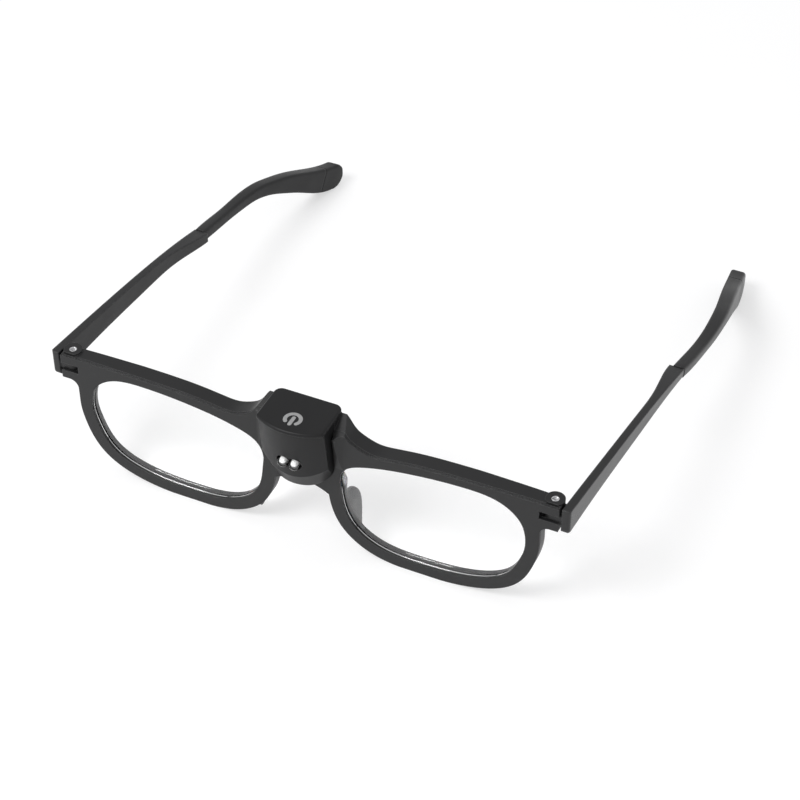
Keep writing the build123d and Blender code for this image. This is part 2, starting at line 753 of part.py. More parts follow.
# Tip with its cap, in the arm's layout
tip_sin = sin(radians(tip_end_slope))
tip_cos = cos(radians(tip_end_slope))
cap_plane = Plane(
    origin=(
        0,
        tip_end_y + (tip_end_radius - cap_length) * tip_cos,
        tip_end_radius - (tip_end_radius - cap_length) * tip_sin,
    ),
    x_dir=(1, 0, 0),
    z_dir=(0, tip_cos, -tip_sin),
)
with BuildPart() as tip:
    with BuildSketch(side_plane(-seam_outer_x)):
        with BuildLine():
            Spline(
                (arm_length, seam_top - tip_seam_step),
                *[(arm_length + u * tip_length, v * seam_top) for u, v in tip_top_shares],
                (tip_end_y + tip_end_radius * tip_sin, tip_end_radius * (1 + tip_cos)),
            )
            ThreePointArc(
                (tip_end_y + tip_end_radius * tip_sin, tip_end_radius * (1 + tip_cos)),
                (tip_end_y + tip_end_radius * tip_cos, tip_end_radius * (1 - tip_sin)),
                (tip_end_y - tip_end_radius * tip_sin, tip_end_radius * (1 - tip_cos)),
            )
            Spline(
                (tip_end_y - tip_end_radius * tip_sin, tip_end_radius * (1 - tip_cos)),
                *[(arm_length + u * tip_length, v * seam_top) for u, v in tip_bottom_shares],
                (arm_length, seam_top - tip_seam_step - tip_seam_height),
            )
            Line(
                (arm_length, seam_top - tip_seam_step - tip_seam_height),
                (arm_length, seam_top - tip_seam_step),
            )
        make_face()
    extrude(amount=3 * seam_outer_x)
    with BuildSketch(Plane.XY.offset(-overrun)):
        with BuildLine():
            Spline(
                (seam_outer_x - tip_seam_step, arm_length),
                *[(v * seam_outer_x, arm_length + u * tip_length) for u, v in tip_outer_shares],
                (tip_end_outer_x, arm_length + tip_length),
            )
            Line(
                (tip_end_outer_x, arm_length + tip_length),
                (tip_end_outer_x - tip_end_thickness, arm_length + tip_length),
            )
            Spline(
                (tip_end_outer_x - tip_end_thickness, arm_length + tip_length),
                *[(v * seam_outer_x, arm_length + u * tip_length) for u, v in tip_inner_shares],
                (seam_outer_x - tip_seam_step - tip_seam_thickness, arm_length),
            )
            Line(
                (seam_outer_x - tip_seam_step - tip_seam_thickness, arm_length),
                (seam_outer_x - tip_seam_step, arm_length),
            )
        make_face()
    extrude(amount=2 * seam_top, mode=Mode.INTERSECT)
with BuildPart() as tip_sleeve:
    add(tip.part)
    split(bisect_by=cap_plane.offset(-cap_gap / 2), keep=Keep.BOTTOM)
    with Locations((seam_middle_x, arm_length, seam_top - spigot_drop)):
        Box(
            spigot_width + 2 * peg_clearance,
            spigot_length + peg_clearance,
            spigot_height + 2 * peg_clearance,
            align=(Align.CENTER, Align.MIN, Align.CENTER),
            mode=Mode.SUBTRACT,
        )
    with Locations(cap_plane):
        with Locations((tip_end_outer_x - peg_side_step, 0, 0)):
            Cylinder(
                peg_width / 2 + peg_clearance,
                peg_length + peg_clearance,
                align=(Align.CENTER, Align.CENTER, Align.MAX),
                mode=Mode.SUBTRACT,
            )
with BuildPart() as tip_cap:
    add(tip.part)
    split(bisect_by=cap_plane.offset(cap_gap / 2), keep=Keep.TOP)
    with Locations(cap_plane.offset(cap_gap)):
        with Locations((tip_end_outer_x - peg_side_step, 0, 0)):
            Cylinder(
                peg_width / 2, peg_length + cap_gap, align=(Align.CENTER, Align.CENTER, Align.MAX)
            )

# Both arms in place: the left one is the right one's mirror image
right_place = Pos(hinge_x, hinge_y, 0) * Rot(0, 0, -right_open_angle)
left_place = Pos(-hinge_x, hinge_y, 0) * Rot(0, 0, left_open_angle)
for name, piece in (("arm", arm.part), ("tip", tip_sleeve.part), ("tip_cap", tip_cap.part)):
    pieces["right_" + name] = right_place * piece
    pieces["left_" + name] = left_place * mirror(piece, about=Plane.YZ)

# The origin goes to the middle of the whole object's bottom
whole = Compound(children=[Compound(piece.solids()) for piece in pieces.values()]).bounding_box()
shift = Location((-whole.center().X, -whole.center().Y, -whole.min.Z))
print("size", whole.size, "shift", shift.position)
print("right hinge at", hinge_x + shift.position.X, "left hinge at", shift.position.X - hinge_x, "mm")
for name, piece in pieces.items():
    placed = piece.moved(shift)
    placed.label = name
    export_step(placed, "parts/" + name + ".step")
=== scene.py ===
"""Finishes and small pieces for a pair of magnifier glasses with two lamps on the bridge.

Run as a script, it dresses the fixed frame of the glasses. Everything is in metres, in the frame's space."""
import math

import bmesh
import bpy
from bpy.props import FloatProperty, FloatVectorProperty, PointerProperty
from mathutils import Matrix, Vector


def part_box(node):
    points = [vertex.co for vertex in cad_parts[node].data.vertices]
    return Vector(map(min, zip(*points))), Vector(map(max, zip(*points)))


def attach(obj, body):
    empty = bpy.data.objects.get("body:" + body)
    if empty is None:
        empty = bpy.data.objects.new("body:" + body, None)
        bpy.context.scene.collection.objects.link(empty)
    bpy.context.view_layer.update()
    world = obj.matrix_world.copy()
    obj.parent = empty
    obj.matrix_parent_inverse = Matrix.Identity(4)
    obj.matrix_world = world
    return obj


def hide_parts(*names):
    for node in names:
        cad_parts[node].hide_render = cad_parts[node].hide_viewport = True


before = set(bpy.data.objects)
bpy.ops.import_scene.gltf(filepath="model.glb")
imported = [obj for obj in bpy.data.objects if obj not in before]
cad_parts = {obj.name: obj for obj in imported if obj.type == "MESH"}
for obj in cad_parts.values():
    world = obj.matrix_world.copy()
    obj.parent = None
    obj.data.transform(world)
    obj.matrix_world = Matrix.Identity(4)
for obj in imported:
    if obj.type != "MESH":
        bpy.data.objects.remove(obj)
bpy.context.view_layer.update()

bl_info = {
    "name": "Lighted magnifier glasses",
    "version": (1, 0, 0),
    "blender": (4, 5, 0),
    "location": "View3D > Sidebar > Magnifier",
    "description": "Finishes, sign, screws, nose pads and lamp insides for lighted magnifier glasses",
    "category": "Object",
}

MM = 0.001
COVER_LOW, COVER_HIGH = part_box("light_cover")
SIDES = ("left", "right")


def length(name, description, default):
    """A size that a user may change, in metres."""
    return FloatProperty(name=name, description=description, default=default, min=0.0, precision=6,
                         unit="LENGTH")


def share(name, description, default):
    """A share from 0 to 1."""
    return FloatProperty(name=name, description=description, default=default, min=0.0, max=1.0,
                         subtype="FACTOR")


def colour(name, description, default):
    """A colour, linear red, green and blue."""
    return FloatVectorProperty(name=name, description=description, default=default, size=3, min=0.0,
                               max=1.0, subtype="COLOR")


def place(name, description, default):
    """A point in the frame's space, in metres."""
    return FloatVectorProperty(name=name, description=description, default=default, size=3, precision=6,
                               subtype="TRANSLATION", unit="LENGTH")


class StageSettings(bpy.types.PropertyGroup):
    """Floor, lights and camera."""

    floor_radius: length("Floor radius", "How far the white table reaches", 6.0)
    floor_colour: colour("Floor colour", "Colour of the white table", (0.5, 0.5, 0.503))
    floor_glow: colour("Floor glow", "What the table adds where it is seen, mirrored or seen through glass",
                       (0.56, 0.56, 0.56))
    room_colour: colour("Room colour", "Even light from the pale room", (0.58, 0.58, 0.585))
    key_power: FloatProperty(name="Soft box power", description="Power of the soft box in front and above",
                             default=10.0, min=0.0, unit="POWER")
    key_size: length("Soft box size", "Side of the square soft box", 0.55)
    key_place: place("Soft box place", "Where the soft box hangs", (-0.45, -0.75, 1.05))
    eye: place("Eye", "Where the camera stands", (0.18883, -0.42619, 0.39779))
    aim: place("Aim", "The point in the middle of the picture", (0.02530, -0.07052, 0.05735))
    lens: FloatProperty(name="Lens", description="Focal length on a 36 mm sensor, in millimetres",
                        default=96.66, min=10.0)


class PlasticSettings(bpy.types.PropertyGroup):
    """Moulded plastic of the front, the light box and the arms, and the softer plastic of the tips."""

    black: colour("Black", "Dye of the moulded plastic", (0.0125, 0.0125, 0.013))
    roughness: share("Roughness", "Gloss of the moulded plastic, 0 is a mirror", 0.4)
    grain: length("Grain", "Width of the mould's fine grain", 0.00012)
    tip_black: colour("Tip black", "Dye of the soft tips", (0.0135, 0.0135, 0.014))
    tip_roughness: share("Tip roughness", "Gloss of the soft tips", 0.46)
    edge_radius: length("Edge radius", "How softly the moulded edges catch the light", 0.0003)
    arm_edge_radius: length("Arm edge radius", "How round the arms' and tips' long edges are", 0.0008)
    tip_round: length("Tip round", "Radius of the tips' long edges", 0.0009)
    tip_end_round: length("Tip end round", "Radius of the tips' far edges", 0.0007)
    tip_flare: length("Tip flare", "How much a tip widens where it meets the arm", 0.0006)
    tip_fullness: length("Tip fullness", "How much fuller the middle of a tip is than the frame's", 0.0003)
    seam_gap: length("Seam gap", "Fine gap between a tip and its cap", 0.0001)
    inner_matt: share("Inner matt", "How much duller the arms' inner faces are than their outer ones",
                      0.16)
    box_index: FloatProperty(name="Light box index", description="How strongly the light box's skin mirrors",
                             default=1.32, min=1.0, max=2.0)


class LensSettings(bpy.types.PropertyGroup):
    """The two magnifying lenses."""

    tint: colour("Tint", "Colour that the clear plastic gives to light", (0.996, 0.998, 0.997))
    index: FloatProperty(name="Refractive index", description="How strongly the lens bends light",
                         default=1.49, min=1.0, max=2.0)


class SignSettings(bpy.types.PropertyGroup):
    """The printed power sign on the light box's cover."""

    outside: length("Outside width", "Width of the ring over its outer edge", 0.005)
    stroke: length("Stroke", "Width of the printed lines", 0.00102)
    from_front: length("From the front", "Middle of the ring behind the cover's front lip", 0.0049)
    bar: length("Bar", "Length of the bar in the ring's gap", 0.0036)
    gap: FloatProperty(name="Gap", description="Angle that the ring leaves open", default=math.radians(98),
                       min=0.0, max=math.pi, subtype="ANGLE", unit="ROTATION")
    ink_height: length("Ink height", "How far the print stands on the cover", 0.00003)
    ink: colour("Ink", "Colour of the print", (0.36, 0.36, 0.36))


class LampSettings(bpy.types.PropertyGroup):
    """The two round lamps and what shows inside them."""

    index: FloatProperty(name="Refractive index", description="How strongly the clear dome bends light",
                         default=1.5, min=1.0, max=2.0)
    core_radius: length("Core radius", "Radius of the cloudy core inside the clear dome", 0.00066)
    core_back: length("Core set back", "Round end of the core behind the tip of the dome", 0.00095)
    core_length: length("Core length", "Length of the cloudy core", 0.0019)
    # The core's pale upper half is a painted highlight, and its grey lower half is painted shade.
    core_painted_highlight: colour("Core painted highlight", "Colour of the core's pale upper half", (0.97, 0.97, 0.96))
    core_painted_shade: colour("Core painted shade", "Colour of the core's grey lower half", (0.12, 0.12, 0.12))


class ScrewSettings(bpy.types.PropertyGroup):
    """Hinge screws."""

    crown: length("Crown", "The head's top ring lies 0.4 of this below its box's top", 0.00018)
    steel: colour("Steel", "Colour of the pale plated screws", (0.95, 0.95, 0.96))


class PadSettings(bpy.types.PropertyGroup):
    """Soft nose pads."""

    smoke: colour("Smoke", "Colour of the see-through pads", (0.135, 0.135, 0.14))
    swell: length("Swell", "How much the middle of a pad's face swells", 0.00016)
    cell_size: length("Cell size", "Size of the mesh that rounds the pads", 0.00030)
    stand_off: length("Stand off", "How far a pad's root stands off the nose", 0.0015)
    lean: share("Lean", "How far a pad's rear edge leans back to the nose, as a share of its depth",
                0.08)
    top_lean: share("Top lean", "How far a pad's top leans back to the nose, as a share of its height", 0.25)
    foot_lift: share("Foot lift", "How much a pad's lower half is shortened from below", 0.1)
    lining_cell: length("Lining cell", "Size of the mesh that rounds the lining", 0.00013)
    lining: length("Lining", "Thickness of the pad's lining on the rim's inner wall", 0.00028)
    wing: length("Wing", "How much thicker the lining is where it makes the small upper wing", 0.001)
    wing_height: length("Wing height", "Middle of the small upper wing over the table", 0.0215)
    wing_reach: length("Wing reach", "Half the height of the small upper wing", 0.0028)
    wing_pale: colour("Wing pale", "Colour of the thin rubber of the wing", (0.92, 0.92, 0.94))


def settings(group):
    """One of this file's groups of sizes and colours, as the scene holds it."""
    return getattr(bpy.context.scene, "magnifier_" + group)


class Finish:
    """A node material: one Principled shader, and helpers for the textures that feed it."""

    def __init__(self, name, **constants):
        self.material = bpy.data.materials.new(name)
        self.material.use_nodes = True
        self.tree = self.material.node_tree
        self.shader = self.tree.nodes["Principled BSDF"]
        self.place = self.node("ShaderNodeTexCoord").outputs["Object"]
        for socket, value in constants.items():
            self.shader.inputs[socket.replace("_", " ")].default_value = value

    def node(self, kind, inputs=None, **options):
        """A new node with these options, its inputs set to values or joined to other nodes' outputs."""
        node = self.tree.nodes.new(kind)
        for option, value in options.items():
            setattr(node, option, value)
        for key, value in (inputs or {}).items():
            if isinstance(value, bpy.types.NodeSocket):
                self.tree.links.new(value, node.inputs[key])
            else:
                node.inputs[key].default_value = value
        return node

    def noise(self, width, detail=2.0, distortion=0.0, stretch=None):
        """Cloudy values from 0 to 1, about this wide, in metres."""
        where = self.place
        if stretch is not None:
            where = self.node("ShaderNodeMapping", {"Vector": where, "Scale": stretch}).outputs["Vector"]
        return self.node("ShaderNodeTexNoise", {"Vector": where, "Scale": 1 / width, "Detail": detail,
                                                "Distortion": distortion}).outputs["Fac"]

    def spread(self, value, low, high, start=0.3, end=0.7):
        """The value, moved from start..end to low..high."""
        return self.node("ShaderNodeMapRange", {"Value": value, "From Min": start, "From Max": end,
                                                "To Min": low, "To Max": high}).outputs["Result"]

    def maths(self, operation, first, second=0.0):
        """One sum on two values."""
        return self.node("ShaderNodeMath", {0: first, 1: second}, operation=operation).outputs[0]

    def blend(self, factor, first, second):
        """A colour between two colours."""
        colours = [c if isinstance(c, bpy.types.NodeSocket) else tuple(c) + (1.0,) for c in (first, second)]
        return self.node("ShaderNodeMix", {0: factor, 6: colours[0], 7: colours[1]},
                         data_type="RGBA").outputs[2]

    def edges(self, radius, samples=6):
        """The surface's direction, with its sharp edges rounded to this radius."""
        return self.node("ShaderNodeBevel", {"Radius": radius}, samples=samples).outputs["Normal"]

    def bump(self, height, depth, under=None):
        """The surface's direction with a relief this deep."""
        inputs = {"Height": height, "Distance": depth, "Strength": 1.0}
        if under is not None:
            inputs["Normal"] = under
        return self.node("ShaderNodeBump", inputs).outputs["Normal"]

    def feed(self, **sockets):
        """Joins outputs to the shader's sockets."""
        for socket, value in sockets.items():
            self.tree.links.new(value, self.shader.inputs[socket.replace("_", " ")])
        return self.material


def grained_plastic(name, dye, roughness, grain, edge_radius, depth=0.0000022, index=1.42,
                    inner_matt=0.0, edge_paling=1.0):
    """Dyed moulded plastic: fine mould grain, faint flow in its gloss, and edges painted paler, partly as
    edge wearing and partly as a painted highlight.

    With inner_matt, the faces that look towards the middle are duller than those that look outwards."""
    finish = Finish(name, IOR=index)
    grains = finish.noise(grain, detail=3.0)
    flow = finish.noise(0.006, detail=2.0, distortion=0.4, stretch=(1.0, 0.35, 1.0))
    specks = finish.noise(0.00045, detail=4.0)
    rounded = finish.edges(edge_radius)
    plain = finish.node("ShaderNodeNewGeometry").outputs["Normal"]
    along = finish.node("ShaderNodeVectorMath", {0: rounded, 1: plain},
                        operation="DOT_PRODUCT").outputs["Value"]
    # Painted highlight and wear: the paler colour goes where the rounded normal turns from the plain one,
    # along the edges. It is partly edge wearing and partly a painted highlight line.
    wear_and_highlight_mask = finish.maths("MULTIPLY", finish.spread(along, 1.0, 0.0, 0.86, 0.985),
                        finish.spread(specks, 0.2, 1.0))
    paler = tuple(min(1.0, (1 + 2 * edge_paling) * c + 0.025 * edge_paling) for c in dye)
    lighter = tuple(1.18 * c for c in dye)
    tone = finish.blend(finish.spread(flow, 0.0, 1.0), dye, lighter)
    shown = finish.blend(wear_and_highlight_mask, tone, paler)
    gloss = finish.maths("ADD", finish.spread(flow, roughness - 0.035, roughness + 0.035),
                         finish.spread(grains, -0.03, 0.03))
    if inner_matt:
        side = finish.node("ShaderNodeSeparateXYZ", {0: finish.place}).outputs["X"]
        facing = finish.node("ShaderNodeTexCoord").outputs["Normal"]
        facing = finish.node("ShaderNodeSeparateXYZ", {0: facing}).outputs["X"]
        outward = finish.maths("MULTIPLY", finish.maths("SIGN", side), facing)
        gloss = finish.maths("ADD", gloss, finish.spread(outward, inner_matt, -0.1, -0.7, 0.7))
    return finish.feed(Base_Color=shown, Roughness=gloss, Normal=finish.bump(grains, depth, rounded))


def clear_lens(name, tint, index):
    """Polished clear plastic, with faint haze where cloths have wiped it."""
    finish = Finish(name, IOR=index, Transmission_Weight=1.0)
    wiped = finish.noise(0.004, detail=3.0, distortion=1.2, stretch=(1.0, 1.0, 0.25))
    dust = finish.noise(0.00035, detail=2.0)
    haze = finish.maths("MULTIPLY", finish.spread(wiped, 0.0, 0.012, 0.5, 0.8),
                        finish.spread(dust, 0.0, 1.0, 0.55, 0.75))
    darker = tuple(0.992 * c for c in tint)
    shown = finish.blend(finish.spread(wiped, 0.0, 1.0), tint, darker)
    return finish.feed(Base_Color=shown, Roughness=haze)


def printed_ink(name, ink):
    """Pad-printed ink: slightly uneven cover and a matt, orange-peel surface."""
    finish = Finish(name, IOR=1.45)
    peel = finish.noise(0.00016, detail=3.0)
    cover = finish.noise(0.0009, detail=2.0)
    darker = tuple(0.82 * c for c in ink)
    uneven = finish.maths("ADD", peel, cover)
    shown = finish.blend(finish.spread(uneven, 0.0, 1.0, 0.75, 1.2), ink, darker)
    return finish.feed(Base_Color=shown, Roughness=finish.spread(peel, 0.5, 0.68),
                       Normal=finish.bump(peel, 0.000004))


def core_painted_lit_and_shaded(name, top, foot, height):
    """The core of a lamp with painted light: grey below this height as painted shade, pale above it as a
    painted highlight, with fine clouds between.
    """
    finish = Finish(name, IOR=1.5)
    level = finish.node("ShaderNodeSeparateXYZ", {0: finish.place}).outputs["Z"]
    clouds = finish.noise(0.0003, detail=3.0)
    lifted = finish.maths("ADD", level, finish.spread(clouds, -0.00006, 0.00006))
    painted_highlight_share = finish.spread(lifted, 0.0, 1.0, height - 0.00008, height + 0.00014)
    return finish.feed(Base_Color=finish.blend(painted_highlight_share, foot, top),
                       Roughness=finish.spread(clouds, 0.2, 0.35), Normal=finish.bump(clouds, 0.000008))


def turned_steel(name, steel, axis_place=(0.0, 0.0, 0.0), metallic=1.0):
    """Bright steel with fine turned rings about an upright axis, and small stains.

    Pale zinc plating is less metallic."""
    finish = Finish(name, Metallic=metallic)
    centred = finish.node("ShaderNodeVectorMath", {0: finish.place, 1: axis_place},
                          operation="SUBTRACT").outputs["Vector"]
    rings = finish.node("ShaderNodeTexWave",
                        {"Vector": centred, "Scale": 2600.0, "Distortion": 0.6, "Detail": 2.0},
                        wave_type="RINGS", rings_direction="Z").outputs["Fac"]
    stains = finish.noise(0.0004, detail=3.0)
    darker = tuple(0.8 * c for c in steel)
    shown = finish.blend(finish.spread(stains, 0.0, 1.0, 0.35, 0.8), steel, darker)
    gloss = finish.maths("ADD", finish.spread(stains, 0.16, 0.3), finish.spread(rings, 0.0, 0.05, 0.0, 1.0))
    return finish.feed(Base_Color=shown, Roughness=gloss,
                       Normal=finish.bump(rings, 0.0000015, finish.edges(0.00005)))


def smoky_rubber(name, smoke, thin, thin_above):
    """See-through smoky silicone, cloudy inside, with a dull skin and a paler tone above a height."""
    finish = Finish(name, IOR=1.41, Transmission_Weight=0.55, Subsurface_Weight=0.25,
                    Subsurface_Scale=0.001)
    clouds = finish.noise(0.0022, detail=3.0)
    skin = finish.noise(0.00022, detail=3.0)
    darker = tuple(0.7 * c for c in smoke)
    shown = finish.blend(finish.spread(clouds, 0.0, 1.0), smoke, darker)
    level = finish.node("ShaderNodeSeparateXYZ", {0: finish.place}).outputs["Z"]
    shown = finish.blend(finish.spread(level, 0.0, 1.0, thin_above, thin_above + MM), shown, thin)
    return finish.feed(Base_Color=shown, Roughness=finish.spread(skin, 0.3, 0.42),
                       Normal=finish.bump(skin, 0.000004))


def wear_finish(material, *names):
    """Gives frame nodes one material."""
    for name in names:
        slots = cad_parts[name].data.materials
        slots.clear()
        slots.append(material)


def solid(name, mesh_maker, material, body="front", smooth=40):
    """A new piece from a mesh maker, smooth but for edges sharper than an angle, riding on a body."""
    mesh = bpy.data.meshes.new(name)
    shape = bmesh.new()
    mesh_maker(shape)
    bmesh.ops.recalc_face_normals(shape, faces=shape.faces)
    shape.to_mesh(mesh)
    shape.free()
    piece = bpy.data.objects.new(name, mesh)
    bpy.context.scene.collection.objects.link(piece)
    mesh.materials.append(material)
    mesh.shade_smooth()
    mesh.set_sharp_from_angle(angle=math.radians(smooth))
    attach(piece, body)
    return piece


def softened(context, source, cell, rounds):
    """A new mesh with its edges rounded: remade from cells of this size, then smoothed."""
    draft = bpy.data.objects.new("draft", source.copy())
    context.scene.collection.objects.link(draft)
    weld = draft.modifiers.new("weld", "WELD")
    weld.merge_threshold = 0.00001
    cells = draft.modifiers.new("cells", "REMESH")
    cells.mode = "VOXEL"
    cells.voxel_size = cell
    soften = draft.modifiers.new("soften", "SMOOTH")
    soften.factor = 0.5
    soften.iterations = rounds
    context.view_layer.update()
    mesh = bpy.data.meshes.new_from_object(draft.evaluated_get(context.evaluated_depsgraph_get()))
    bpy.data.objects.remove(draft)
    return mesh


def extent_at(edges, level):
    """The lowest x, highest x, lowest z and highest z of edges where they cross a level of y."""
    hits = [a.lerp(b, (level - a.y) / (b.y - a.y)) for a, b in edges if (a.y - level) * (b.y - level) < 0]
    across, upright = [hit.x for hit in hits], [hit.z for hit in hits]
    return [min(across), max(across), min(upright), max(upright)]


def rounded_loop(shape, box, level, radius, steps=5):
    """The corners of a round-cornered rectangle in the plane y = level.

    The box is (low x, high x, low z, high z)."""
    x0, x1, z0, z1 = box
    radius = min(radius, 0.49 * (x1 - x0), 0.49 * (z1 - z0))
    loop = []
    for quarter, (x, z) in enumerate(((x1 - radius, z1 - radius), (x0 + radius, z1 - radius),
                                      (x0 + radius, z0 + radius), (x1 - radius, z0 + radius))):
        start = quarter * math.pi / 2
        corner = arc((x, z), radius, start, start + math.pi / 2, steps)
        loop += [shape.verts.new((px, level, pz)) for px, pz in corner]
    return loop


def cut_off(shape, point, direction):
    """Cuts a closed shape at a plane, drops what lies in that direction and closes the cut."""
    everything = [*shape.verts, *shape.edges, *shape.faces]
    cut = bmesh.ops.bisect_plane(shape, geom=everything, plane_co=point, plane_no=direction,
                                 clear_outer=True)
    rim = [part for part in cut["geom_cut"] if isinstance(part, bmesh.types.BMEdge)]
    bmesh.ops.edgenet_fill(shape, edges=rim)


def prism(shape, outline, low, high, chamfer):
    """A flat shape between two heights, with its upper edge chamfered: outline is a list of (x, y)."""
    levels = [(low, 0.0), (high - chamfer, 0.0), (high, chamfer)]
    rings = []
    count = len(outline)
    for z, inset in levels:
        ring = []
        for index, (x, y) in enumerate(outline):
            before, after = Vector(outline[index - 1]), Vector(outline[(index + 1) % count])
            run = (after - before).normalized()
            inward = Vector((-run.y, run.x)) * inset
            ring.append(shape.verts.new((x + inward.x, y + inward.y, z)))
        rings.append(ring)
    for lower, upper in zip(rings, rings[1:]):
        for index in range(count):
            following = (index + 1) % count
            shape.faces.new((lower[index], lower[following], upper[following], upper[index]))
    shape.faces.new(rings[-1])
    shape.faces.new(list(reversed(rings[0])))


def arc(middle, radius, start, end, steps):
    """Points on an arc about a middle, from one angle to another."""
    return [(middle[0] + radius * math.cos(start + (end - start) * i / steps),
             middle[1] + radius * math.sin(start + (end - start) * i / steps)) for i in range(steps + 1)]


def lathe(shape, profile, middle, steps=48):
    """A turned form about an upright axis: profile is a list of (radius, z), from its bottom to its top."""
    rings = []
    for radius, z in profile:
        if radius <= 0:
            rings.append([shape.verts.new((middle[0], middle[1], z))])
        else:
            around = arc(middle, radius, 0, math.tau, steps)[:-1]
            rings.append([shape.verts.new((x, y, z)) for x, y in around])
    for lower, upper in zip(rings, rings[1:]):
        for i in range(steps):
            j = (i + 1) % steps
            corners = [lower[i % len(lower)], lower[j % len(lower)]]
            corners += [upper[j % len(upper)], upper[i % len(upper)]]
            unique = list(dict.fromkeys(corners))
            if len(unique) > 2:
                shape.faces.new(unique)


class MAGNIFIER_OT_stage(bpy.types.Operator):
    """Makes the white table, the soft light and the camera"""

    bl_idname = "magnifier.stage"
    bl_label = "Table, light and camera"

    def execute(self, context):
        s = settings("stage")
        scene = context.scene
        scene.view_settings.view_transform = "Standard"

        # pale room
        world = bpy.data.worlds.new("pale_room")
        world.use_nodes = True
        world.node_tree.nodes["Background"].inputs["Color"].default_value = (*s.room_colour, 1.0)
        scene.world = world

        # white table: it takes the object's shadow, and adds an even glow where it is seen or mirrored
        finish = Finish("white_table", Roughness=1.0, Specular_IOR_Level=0.0)
        tree = finish.tree
        paper = finish.noise(0.05, detail=2.0)
        darker = tuple(0.992 * c for c in s.floor_colour)
        shown = finish.blend(finish.spread(paper, 0.0, 1.0), s.floor_colour, darker)
        finish.feed(Base_Color=shown)
        path = finish.node("ShaderNodeLightPath").outputs
        mirrored = finish.maths("MAXIMUM", path["Is Glossy Ray"], path["Is Transmission Ray"])
        seen = finish.maths("MAXIMUM", path["Is Camera Ray"], mirrored)
        glow = finish.node("ShaderNodeEmission", {"Color": (*s.floor_glow, 1.0), "Strength": seen})
        both = finish.node("ShaderNodeAddShader", {0: finish.shader.outputs[0], 1: glow.outputs[0]})
        tree.links.new(both.outputs[0], tree.nodes["Material Output"].inputs["Surface"])
        mesh = bpy.data.meshes.new("white_table")
        shape = bmesh.new()
        bmesh.ops.create_circle(shape, cap_ends=True, radius=s.floor_radius, segments=96)
        shape.to_mesh(mesh)
        shape.free()
        floor = bpy.data.objects.new("white_table", mesh)
        mesh.materials.append(finish.material)
        scene.collection.objects.link(floor)

        # soft box
        light = bpy.data.lights.new("soft_box", "AREA")
        light.shape = "SQUARE"
        light.size = s.key_size
        light.energy = s.key_power
        lamp = bpy.data.objects.new("soft_box", light)
        lamp.location = s.key_place
        lamp.rotation_mode = "QUATERNION"
        lamp.rotation_quaternion = (Vector((0, 0, 0.02)) - lamp.location).to_track_quat("-Z", "Y")
        scene.collection.objects.link(lamp)

        # camera
        data = bpy.data.cameras.new("camera")
        data.lens = s.lens
        data.sensor_width = 36.0
        data.clip_start, data.clip_end = 0.01, 50.0
        camera = bpy.data.objects.new("camera", data)
        camera.location = s.eye
        camera.rotation_mode = "QUATERNION"
        camera.rotation_quaternion = (Vector(s.aim) - Vector(s.eye)).to_track_quat("-Z", "Y")
        scene.collection.objects.link(camera)
        scene.camera = camera
        return {"FINISHED"}


class MAGNIFIER_OT_front(bpy.types.Operator):
    """Finishes the front plate, the frame behind it and the light box in grained black plastic"""

    bl_idname = "magnifier.front"
    bl_label = "Front and light box"

    def execute(self, context):
        s = settings("plastic")
        plastic = grained_plastic("black_plastic", tuple(s.black), s.roughness, s.grain, s.edge_radius)
        wear_finish(plastic, "front_plate", "front_frame")
        box = grained_plastic("box_plastic", tuple(s.black), s.roughness, s.grain, s.edge_radius,
                              index=s.box_index)
        wear_finish(box, "light_shell", "light_cover")
        return {"FINISHED"}


def round_edged_bar(side, s):
    """One round-edged bar in the place of a tip and its cap, from inside the arm to the far end."""
    start_in, end_in = 0.4 * MM, 0.01 * MM  # first and last slice, inside the ends of the frame's tip
    root = 1.2 * MM  # how far the bar goes on into the arm
    flare_down, flare_up, flare_out = 0.3, 0.8, 0.4  # where the flare goes, as shares of its size
    flare_run = 0.25  # share of the bar's length over which the flare runs out
    top_share = 0.8  # how round the end's upper edge is beside its side edges
    most_inset = 0.35  # the end never narrows by more than this share, from each side
    stations = 72

    meshes = [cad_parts[side + "_" + name].data for name in ("tip", "tip_cap")]
    edges = [[mesh.vertices[i].co for i in edge.vertices] for mesh in meshes for edge in mesh.edges]
    tip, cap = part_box(side + "_tip"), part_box(side + "_tip_cap")
    first, last = tip[0].y + start_in, cap[1].y - end_in
    floor = min(tip[0].z, cap[0].z)
    outer, outward = (0, -1) if side == "left" else (1, 1)
    bar = bmesh.new()
    loops = []
    for station in range(-1, stations + 1):
        level = first + (last - first) * math.sin(max(0, station) / stations * math.pi / 2)
        box = extent_at(edges, level)
        share_on = (level - first) / (last - first)
        fuller = s.tip_fullness * math.sin(math.pi * share_on)
        flare = s.tip_flare * max(0.0, 1 - share_on / flare_run) ** 2
        to_end = last - level
        inset = 0.0
        if to_end < s.tip_end_round:
            inset = s.tip_end_round - math.sqrt(s.tip_end_round ** 2 - (s.tip_end_round - to_end) ** 2)
        side_inset = min(inset, most_inset * (box[1] - box[0]))
        top_inset = min(top_share * inset, most_inset * (box[3] - box[2]))
        box = [box[0] - fuller + side_inset, box[1] + fuller - side_inset,
               max(floor, box[2] - fuller - flare_down * flare),
               box[3] + fuller - top_inset + flare_up * flare]
        box[outer] += flare_out * outward * flare
        loops.append(rounded_loop(bar, box, level - (root if station < 0 else 0), s.tip_round))
    for near, far in zip(loops, loops[1:]):
        for i in range(len(near)):
            j = (i + 1) % len(near)
            bar.faces.new((near[i], near[j], far[j], far[i]))
    bar.faces.new(loops[0])
    bar.faces.new(reversed(loops[-1]))
    bmesh.ops.remove_doubles(bar, verts=bar.verts, dist=0.001 * MM)
    bmesh.ops.recalc_face_normals(bar, faces=bar.faces)
    return bar


